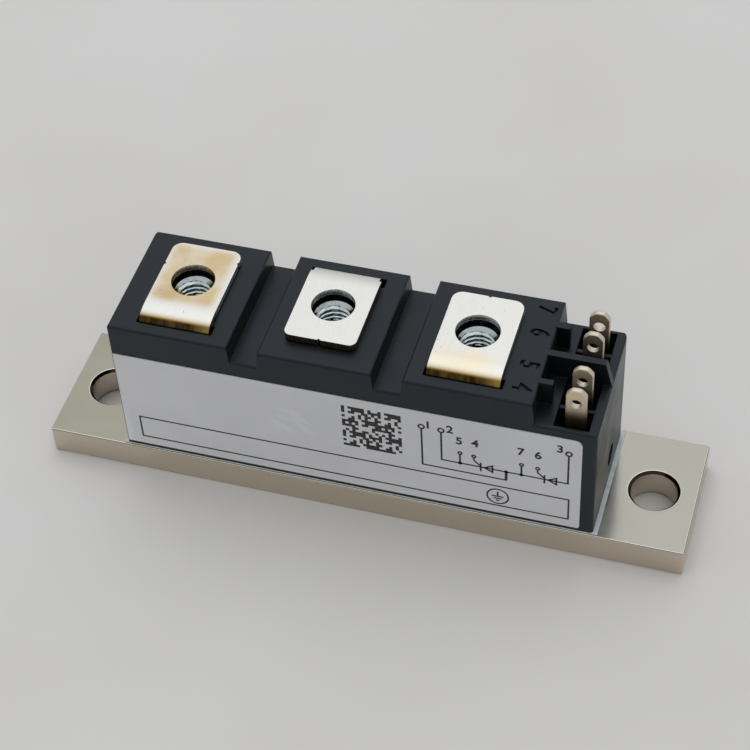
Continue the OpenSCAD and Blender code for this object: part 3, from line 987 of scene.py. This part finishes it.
@dataclass
class Housing:
    """The moulded housing, with the numbers of the control tabs sunk into its last tower."""

    numeral_h: float = 2.6
    numeral_w: float = 0.8
    numeral_x: float = 22.65
    numeral_d: float = 0.35
    numeral_bold: float = 0.06
    numeral_merge: float = 0.002
    numerals: tuple[tuple[int, float], ...] = ((4, -6.9), (5, -2.8), (6, 3.2), (7, 7.6))
    strip_rise: float = 1.2

    def build(self) -> None:
        """Sink the numerals into a copy of the housing and dress it."""
        housing = solid_copy("housing", "moulded_housing")
        with editing(housing):
            bpy.ops.mesh.quads_convert_to_tris(quad_method="BEAUTY", ngon_method="BEAUTY")
        cutters = [self.numeral(number, y) for number, y in self.numerals]
        cut(housing, join(cutters, "numeral_cutter"), overlaps=True)
        plastic = MouldedPlastic("moulded_glass_filled_plastic", "#0a0c0f")
        finish_piece(housing, plastic, "housing_plastic", "housing")

    def numeral(self, number: int, y: float) -> Piece:
        """Cut out one numeral that reads towards the front.

        Args:
            number: The tab's number.
            y: Its place across the housing.

        Returns:
            A solid in the shape of the numeral, standing through the tower's top.
        """
        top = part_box("busbar_3")[1].z / MM - self.strip_rise
        piece = type_numeral(number, self.numeral_h, self.numeral_bold, self.numeral_d)
        piece.scale = (self.numeral_w, 1, 1)
        piece.rotation_euler = (0, 0, -math.pi / 2)
        piece.location = Vector((self.numeral_x, y, top)) * MM
        settle(piece)
        with editing(piece):
            bpy.ops.mesh.remove_doubles(threshold=self.numeral_merge * MM)
            bpy.ops.mesh.normals_make_consistent(inside=False)
        return piece


@dataclass
class Drawing:
    """Flat shapes of ink, drawn from a corner of the label and then stood up on its face."""

    corner: Point
    shapes: list[Piece]

    def at(self, point: Point) -> Vector:
        """Give a point of the drawing in metres."""
        return Vector((self.corner[0] + point[0], self.corner[1] + point[1], 0)) * MM

    def keep(self) -> Piece:
        """Settle the shape that was just added and keep it.

        Returns:
            The shape.
        """
        shape = settle(bpy.context.object)
        self.shapes.append(shape)
        return shape

    def stroke(self, start: Point, end: Point, width: float) -> None:
        """Draw a straight line.

        Args:
            start: Where the line starts.
            end: Where it ends.
            width: Its width.
        """
        along = Vector(end) - Vector(start)
        bpy.ops.mesh.primitive_plane_add(size=MM, location=(self.at(start) + self.at(end)) / 2,
                                         rotation=(0, 0, math.atan2(along.y, along.x)))
        bpy.context.object.scale = (along.length, width, 1)
        self.keep()

    def disc(self, centre: Point, r: float, sides: int = 24, turn: float = 0.0) -> Piece:
        """Draw a filled round or regular shape.

        Args:
            centre: Its middle.
            r: Distance from there to its corners.
            sides: Number of sides.
            turn: Turn from a corner at the top, in degrees.

        Returns:
            The shape.
        """
        bpy.ops.mesh.primitive_circle_add(vertices=sides, radius=r * MM, fill_type="NGON",
                                          location=self.at(centre), rotation=(0, 0, math.radians(turn)))
        return self.keep()

    def ring(self, centre: Point, r: float, width: float, sides: int = 32, turn: float = 0.0) -> None:
        """Draw the outline of a round or regular shape.

        Args:
            centre: Its middle.
            r: Distance from there to its outer corners.
            width: Width of the line.
            sides: Number of sides.
            turn: Turn from a corner at the top, in degrees.
        """
        with editing(self.disc(centre, r, sides, turn)):
            bpy.ops.mesh.select_mode(type="FACE")
            bpy.ops.mesh.inset(thickness=width * MM)
            bpy.ops.mesh.delete(type="FACE")

    def numeral(self, number: int, centre: Point, height: float, bold: float) -> None:
        """Print a number of this height, its strokes bolder by this much on each side."""
        type_numeral(number, height, bold).location = self.at(centre)
        self.keep()

    def block(self, low: Point, high: Point, cells: int) -> None:
        """Print a square block of dark cells, dark by a sum of their row and column.

        Args:
            low: Its lower left corner.
            high: Its upper right corner.
            cells: Number of cells along a side.
        """
        size = Vector(high) - Vector(low)
        bpy.ops.mesh.primitive_grid_add(x_subdivisions=cells, y_subdivisions=cells, size=MM,
                                        location=(self.at(low) + self.at(high)) / 2)
        bpy.context.object.scale = (size.x, size.y, 1)
        block = self.keep()
        with editing(block):
            choose(block, "faces", lambda face: self.pale_cell(face.index % cells, face.index // cells))
            bpy.ops.mesh.delete(type="FACE")

    @staticmethod
    def pale_cell(column: int, row: int) -> bool:
        """Say whether a cell of the block stays pale."""
        return (3 * column * column + 5 * row * row + 7 * column * row + 2 * row) % 11 > 5

    def stand(self, name: str, face_y: float, thickness: float) -> Piece:
        """Join the shapes, thicken them and stand them on the label.

        Args:
            name: Name of the print.
            face_y: The label's face, in millimetres.
            thickness: Thickness of the ink.

        Returns:
            The print as one piece.
        """
        piece = join(self.shapes, name)
        apply_modifier(piece, "SOLIDIFY", thickness=thickness * MM, offset=1.0)
        piece.rotation_euler = (math.pi / 2, 0, 0)
        piece.location = (0, face_y * MM, 0)
        return settle(piece)


@dataclass
class FrontLabel:
    """The film on the front and its plain print: a schematic, a code block, a frame and an earth sign.

    Places on it run from its lower left corner, with u along it and v up it.
    """

    ink_t: float = 0.015
    print_shift: float = 0.15
    thin: float = 0.24
    line: float = 0.26
    digit_h: float = 1.35
    digit_bold: float = 0.055
    main_v: float = 8.9
    lower_v: float = 7.2
    common_u: float = 55.0
    common_w: float = 0.39
    dot_r: float = 0.3
    terminals: tuple[Point, ...] = ((43.4, 14.83), (46.1, 14.8), (63.4, 14.9))
    terminal_r: float = 0.52
    pins: Point = (48.65, 57.08)
    pin_v: float = 10.95
    pin_r: float = 0.36
    bars: Point = (51.5, 60.22)
    bar_half: float = 0.85
    arrow_step: float = 1.25
    arrow_r: float = 1.0
    gate_step: float = 0.94
    gate_v: float = 10.8
    gate_knee: float = 10.0
    gate_end: float = 9.2
    numbers: tuple[tuple[int, Point], ...] = (
        (1, (44.3, 15.3)), (2, (47.3, 15.2)), (3, (62.2, 15.5)), (5, (48.56, 13.3)),
        (4, (50.75, 13.4)), (7, (56.95, 13.5)), (6, (59.3, 13.4)))
    code: tuple[Point, Point] = ((32.3, 8.1), (40.6, 16.1))
    code_cells: int = 18
    frame_u: Point = (2.2, 63.6)
    frame_v: Point = (1.55, 5.6)
    earth_at: Point = (53.84, 3.45)
    earth_r: float = 1.6
    earth_stem: Point = (0.1, 0.95)
    earth_bars: Place = (0.85, 0.55, 0.25)
    earth_step: float = 0.42

    def build(self) -> None:
        """Dress the film and print on it."""
        dress_node("label", LabelFilm("satin_polyester_film", "#c9cacd"))
        self.print("schematic_print", self.schematic)
        self.print("frame_print", self.frame_line)
        self.print("code_print", lambda drawing: drawing.block(*self.code, self.code_cells))
        self.print("earth_print", self.earth)

    def print(self, name: str, draw: Callable[[Drawing], None]) -> None:
        """Print one part of the label.

        Args:
            name: Name of the print.
            draw: Draws its shapes.
        """
        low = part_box("label")[0] / MM
        drawing = Drawing((low.x + self.print_shift, low.z), [])
        draw(drawing)
        piece = drawing.stand(name, low.y, self.ink_t)
        finish_piece(piece, LabelInk("thermal_transfer_ink", "#17171a"))

    def schematic(self, drawing: Drawing) -> None:
        """Draw two thyristors in series with their seven terminals.

        Args:
            drawing: Takes the shapes.
        """
        main, lower, thin, line = self.main_v, self.lower_v, self.thin, self.line
        first, left, right = (u for u, _ in self.terminals)
        drawing.stroke((left - line / 2, main), (right + line / 2, main), thin)
        for (u, v), foot in zip(self.terminals, (lower, main, main)):
            drawing.ring((u, v), self.terminal_r, line)
            drawing.stroke((u, v - self.terminal_r), (u, foot + thin / 2), line)
        drawing.stroke((first - line / 2, lower), (self.common_u + line / 2, lower), thin)
        drawing.stroke((self.common_u, main - thin / 2), (self.common_u, lower + thin / 2), self.common_w)
        drawing.disc((self.common_u, main), self.dot_r)
        for pin, bar in zip(self.pins, self.bars):
            self.thyristor(drawing, bar)
            drawing.ring((pin, self.pin_v), self.pin_r, thin)
            drawing.stroke((pin, self.pin_v - self.pin_r), (pin, main + thin / 2), line)
            drawing.disc((pin, main), self.dot_r)
            gate = bar - self.gate_step
            drawing.ring((gate, self.gate_v), self.pin_r, thin)
            drawing.stroke((gate, self.gate_v - self.pin_r), (gate, self.gate_knee), thin)
            drawing.stroke((gate, self.gate_knee), (bar - line / 2, self.gate_end), thin)
        for number, centre in self.numbers:
            drawing.numeral(number, centre, self.digit_h, self.digit_bold)

    def thyristor(self, drawing: Drawing, bar: float) -> None:
        """Draw one thyristor's bar and triangle on the main line."""
        drawing.stroke((bar, self.main_v - self.bar_half), (bar, self.main_v + self.bar_half), self.line)
        drawing.ring((bar + self.arrow_step, self.main_v), self.arrow_r, self.line, sides=3, turn=90)

    def frame_line(self, drawing: Drawing) -> None:
        """Draw the empty frame along the foot of the label.

        Args:
            drawing: Takes the shapes.
        """
        half = self.thin / 2
        for v in self.frame_v:
            drawing.stroke((self.frame_u[0] - half, v), (self.frame_u[1] + half, v), self.thin)
        for u in self.frame_u:
            drawing.stroke((u, self.frame_v[0] + half), (u, self.frame_v[1] - half), self.thin)

    def earth(self, drawing: Drawing) -> None:
        """Draw the sign for protective earth in its ring.

        Args:
            drawing: Takes the shapes.
        """
        u, v = self.earth_at
        drawing.ring((u, v), self.earth_r, self.thin, sides=48)
        drawing.stroke((u, v + self.earth_stem[0]), (u, v + self.earth_stem[1]), self.thin)
        for step, half in enumerate(self.earth_bars):
            level = v - self.earth_step * step
            drawing.stroke((u - half, level), (u + half, level), self.thin)


@dataclass
class Terminals:
    """Three folded strips, each over a captive nut with its thread."""

    strip_edge: float = 0.1
    thread_pitch: float = 0.8
    crest_r: float = 2.15
    root_r: float = 2.56
    root_share: float = 0.125
    flank_share: float = 0.625
    mouth_r: float = 2.8
    thread_steps: int = 59
    turn_steps: int = 72

    def build(self) -> None:
        """Soften and tint the strips, and thread the nuts."""
        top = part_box("busbar_1")[1].z / MM
        across = middle("terminal_nuts").y
        nuts = []
        for number, heat in enumerate((Heat.WHOLE, Heat.CLEAN, Heat.FOLD), start=1):
            node = f"busbar_{number}"
            along = middle(node).x
            strip = solid_copy(node, f"folded_strip_{number}")
            apply_modifier(strip, "BEVEL", width=self.strip_edge * MM, segments=2, limit_method="ANGLE")
            tin = TinnedStrip(f"bright_tinned_copper_{heat.value}", "#eaeae6", heat, (along, across), top)
            finish_piece(strip, tin, "tinned_strip", node)
            nuts.append(self.nut(number, along, across))
        finish_piece(join(nuts, "threaded_nuts"), ZincPlate("zinc_plated_tapped_steel", "#d2dcdf"),
                     "zinc_nut", "terminal_nuts")

    def nut(self, number: int, along: float, across: float) -> Piece:
        """Turn a nut's section about its axis, then cut its hexagon and thread.

        Args:
            number: The terminal's number.
            along: The axis's place along the module.
            across: The axis's place across the module.

        Returns:
            The nut.
        """
        low, high = (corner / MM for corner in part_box("terminal_nuts"))
        flat = (high.y - low.y) / 2
        height = high.z - low.z
        bpy.ops.object.select_all(action="DESELECT")
        bpy.ops.mesh.primitive_plane_add(size=MM, rotation=(math.pi / 2, 0, 0),
                                         location=((self.crest_r + flat) / 2 * MM, 0, height / 2 * MM))
        piece = bpy.context.object
        piece.name = f"nut_{number}"
        piece.scale = (flat - self.crest_r, height, 1)
        settle(piece)
        inside = (self.crest_r + flat) / 2 * MM
        with editing(piece):
            bpy.ops.mesh.delete(type="ONLY_FACE")
            choose(piece, "edges", lambda edge: all(v.co.x < inside for v in edge.verts))
            bpy.ops.mesh.subdivide(number_cuts=self.thread_steps)
            bpy.ops.mesh.select_all(action="SELECT")
            bpy.ops.mesh.spin(steps=self.turn_steps, angle=2 * math.pi, center=(0, 0, 0), axis=(0, 0, 1))
            bpy.ops.mesh.select_all(action="SELECT")
            bpy.ops.mesh.remove_doubles(threshold=MERGE * MM)
            mesh = bmesh.from_edit_mesh(piece.data)
            for vertex in mesh.verts:
                self.shape(vertex, flat, height)
            bmesh.update_edit_mesh(piece.data)
            bpy.ops.mesh.normals_make_consistent(inside=False)
        piece.location = Vector((along, across, low.z)) * MM
        return settle(piece)

    def shape(self, vertex: bmesh.types.BMVert, flat: float, height: float) -> None:
        """Move a point of the turned nut onto the hexagon, the thread or a mouth's bevel.

        Args:
            vertex: The point, with the nut's foot at the origin.
            flat: Half the width across the nut's flats.
            height: The nut's height.
        """
        angle = math.atan2(vertex.co.y, vertex.co.x)
        up = vertex.co.z / MM
        if vertex.co.xy.length / MM > (self.crest_r + flat) / 2:
            r = flat / math.cos(angle % (math.pi / 3) - math.pi / 6)
        else:
            turn = (up / self.thread_pitch - angle / (2 * math.pi)) % 1
            depth = min(max(abs(2 * turn - 1) - self.root_share, 0.0) / self.flank_share, 1.0)
            mouth = self.mouth_r - min(up, height - up)
            r = max(mouth, self.root_r - depth * (self.root_r - self.crest_r))
        vertex.co.x = r * math.cos(angle) * MM
        vertex.co.y = r * math.sin(angle) * MM


@dataclass
class ControlTabs:
    """Four stamped tabs that stand in the two control sockets."""

    edge: float = 0.16
    corner_r: float = 0.3
    corner_angle: float = 30.0
    head_h: float = 1.5
    flat_facing: float = 0.9
    hole_r: float = 0.8
    hole_drop: float = 2.4
    hole_sides: int = 64
    hole_margin: float = 0.08
    hole_depth: float = 3.2
    foot_z: float = 24.5

    def build(self) -> None:
        """Round each tab with its hole closed, open the hole again and dress the tab."""
        brass = TabPlate("nickel_plated_stamped_brass", "#e2d2b7", foot_z=self.foot_z)
        for node in ("gate_tab_1", "cathode_tab_1", "gate_tab_2", "cathode_tab_2"):
            tab = solid_copy(node, f"stamped_{node}")
            low, high = Vector(tab.bound_box[0]), Vector(tab.bound_box[6])
            hole = Vector(((low.x + high.x) / 2, (low.y + high.y) / 2, high.z - self.hole_drop * MM))
            self.close_hole(tab, hole)
            self.round_head(tab, high.z - self.head_h * MM)
            apply_modifier(tab, "BEVEL", width=self.edge * MM, segments=3, limit_method="ANGLE")
            self.open_hole(tab, hole)
            finish_piece(tab, brass, "plated_tab", node)

    def flat(self, face: bmesh.types.BMFace) -> bool:
        """Say whether a face is one of a tab's two flat sides."""
        return abs(face.normal.y) > self.flat_facing

    def close_hole(self, tab: Piece, hole: Vector) -> None:
        """Take out a tab's hole and make each of its two flat sides one whole face.

        Args:
            tab: The tab.
            hole: Middle of its hole.
        """
        reach = (self.hole_r + self.hole_margin) * MM
        with editing(tab):
            choose(tab, "faces", lambda face: self.flat(face)
                   or (face.calc_center_median() - hole).xz.length < reach)
            bpy.ops.mesh.delete(type="FACE")
            for side in (-1, 1):
                choose(tab, "edges", lambda edge: edge.is_boundary
                       and all((vertex.co.y - hole.y) * side > 0 for vertex in edge.verts))
                bpy.ops.mesh.edge_face_add()
            bpy.ops.mesh.select_all(action="SELECT")
            bpy.ops.mesh.normals_make_consistent(inside=False)

    def round_head(self, tab: Piece, neck: float) -> None:
        """Round the corners of a tab's head, which run through its thickness.

        Args:
            tab: The tab.
            neck: Height above which the corners belong to the head, in metres.
        """
        with editing(tab):
            choose(tab, "edges", lambda edge: edge.calc_face_angle() > math.radians(self.corner_angle)
                   and not any(self.flat(face) for face in edge.link_faces)
                   and min(vertex.co.z for vertex in edge.verts) > neck)
            bpy.ops.mesh.bevel(offset=self.corner_r * MM, segments=4)

    def open_hole(self, tab: Piece, hole: Vector) -> None:
        """Cut the hole through a tab.

        Args:
            tab: The tab.
            hole: Middle of its hole.
        """
        bpy.ops.object.select_all(action="DESELECT")
        bpy.ops.mesh.primitive_cylinder_add(vertices=self.hole_sides, radius=self.hole_r * MM,
                                            depth=self.hole_depth * MM, location=hole,
                                            rotation=(math.pi / 2, 0, 0))
        cut(tab, settle(bpy.context.object))


@dataclass
class Interior:
    """The sealed stack under the housing: ceramic, copper, chips, leads and gel."""

    def build(self) -> None:
        """Dress each inner solid."""
        copper = InnerStock("etched_bonded_copper", "#b9764a", "#a4623a", (1.5,) * 3, 0.38, 1.0)
        chip = InnerStock("metallised_silicon", "#8a8e97", "#757a84", (0.8,) * 3, 0.25, 0.8)
        yellow = InnerStock("yellow_silicone_sheath", "#d8c25a", "#c9b24b", (0.4,) * 3, 0.5)
        red = InnerStock("red_silicone_sheath", "#b4482f", "#a03c26", (0.4,) * 3, 0.5)
        stock = {
            "back_copper": copper,
            "middle_pad": copper,
            "anode_pad": copper,
            "cathode_clip": InnerStock("stamped_copper_clip", "#c48656", "#ad7046", (2.0, 0.2, 0.2),
                                       0.3, 1.0),
            "ceramic_substrate": InnerStock("fired_alumina", "#f0ede4", "#e4e0d4", (0.3,) * 3, 0.55),
            "thyristor_chip_1": chip,
            "thyristor_chip_2": chip,
            "silicone_gel": InnerStock("cured_silicone_gel", "#d5dfe0", "#c8d4d6", (4.0,) * 3, 0.1,
                                       clear=0.8),
            "gate_lead_1": yellow,
            "cathode_lead_1": red,
            "gate_lead_2": yellow,
            "cathode_lead_2": red,
        }
        for node, finish in stock.items():
            dress_node(node, finish)


def write_sizes() -> None:
    """Bring the scene's placements up to date."""
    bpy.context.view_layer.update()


def main() -> None:
    """Build the scene and every sub-assembly, in order."""
    logging.basicConfig(level=logging.INFO, format="%(message)s")
    for part in (Stage(), Base(), Housing(), FrontLabel(), Terminals(), ControlTabs(), Interior()):
        part.build()
    write_sizes()


if __name__ == "__main__":
    main()
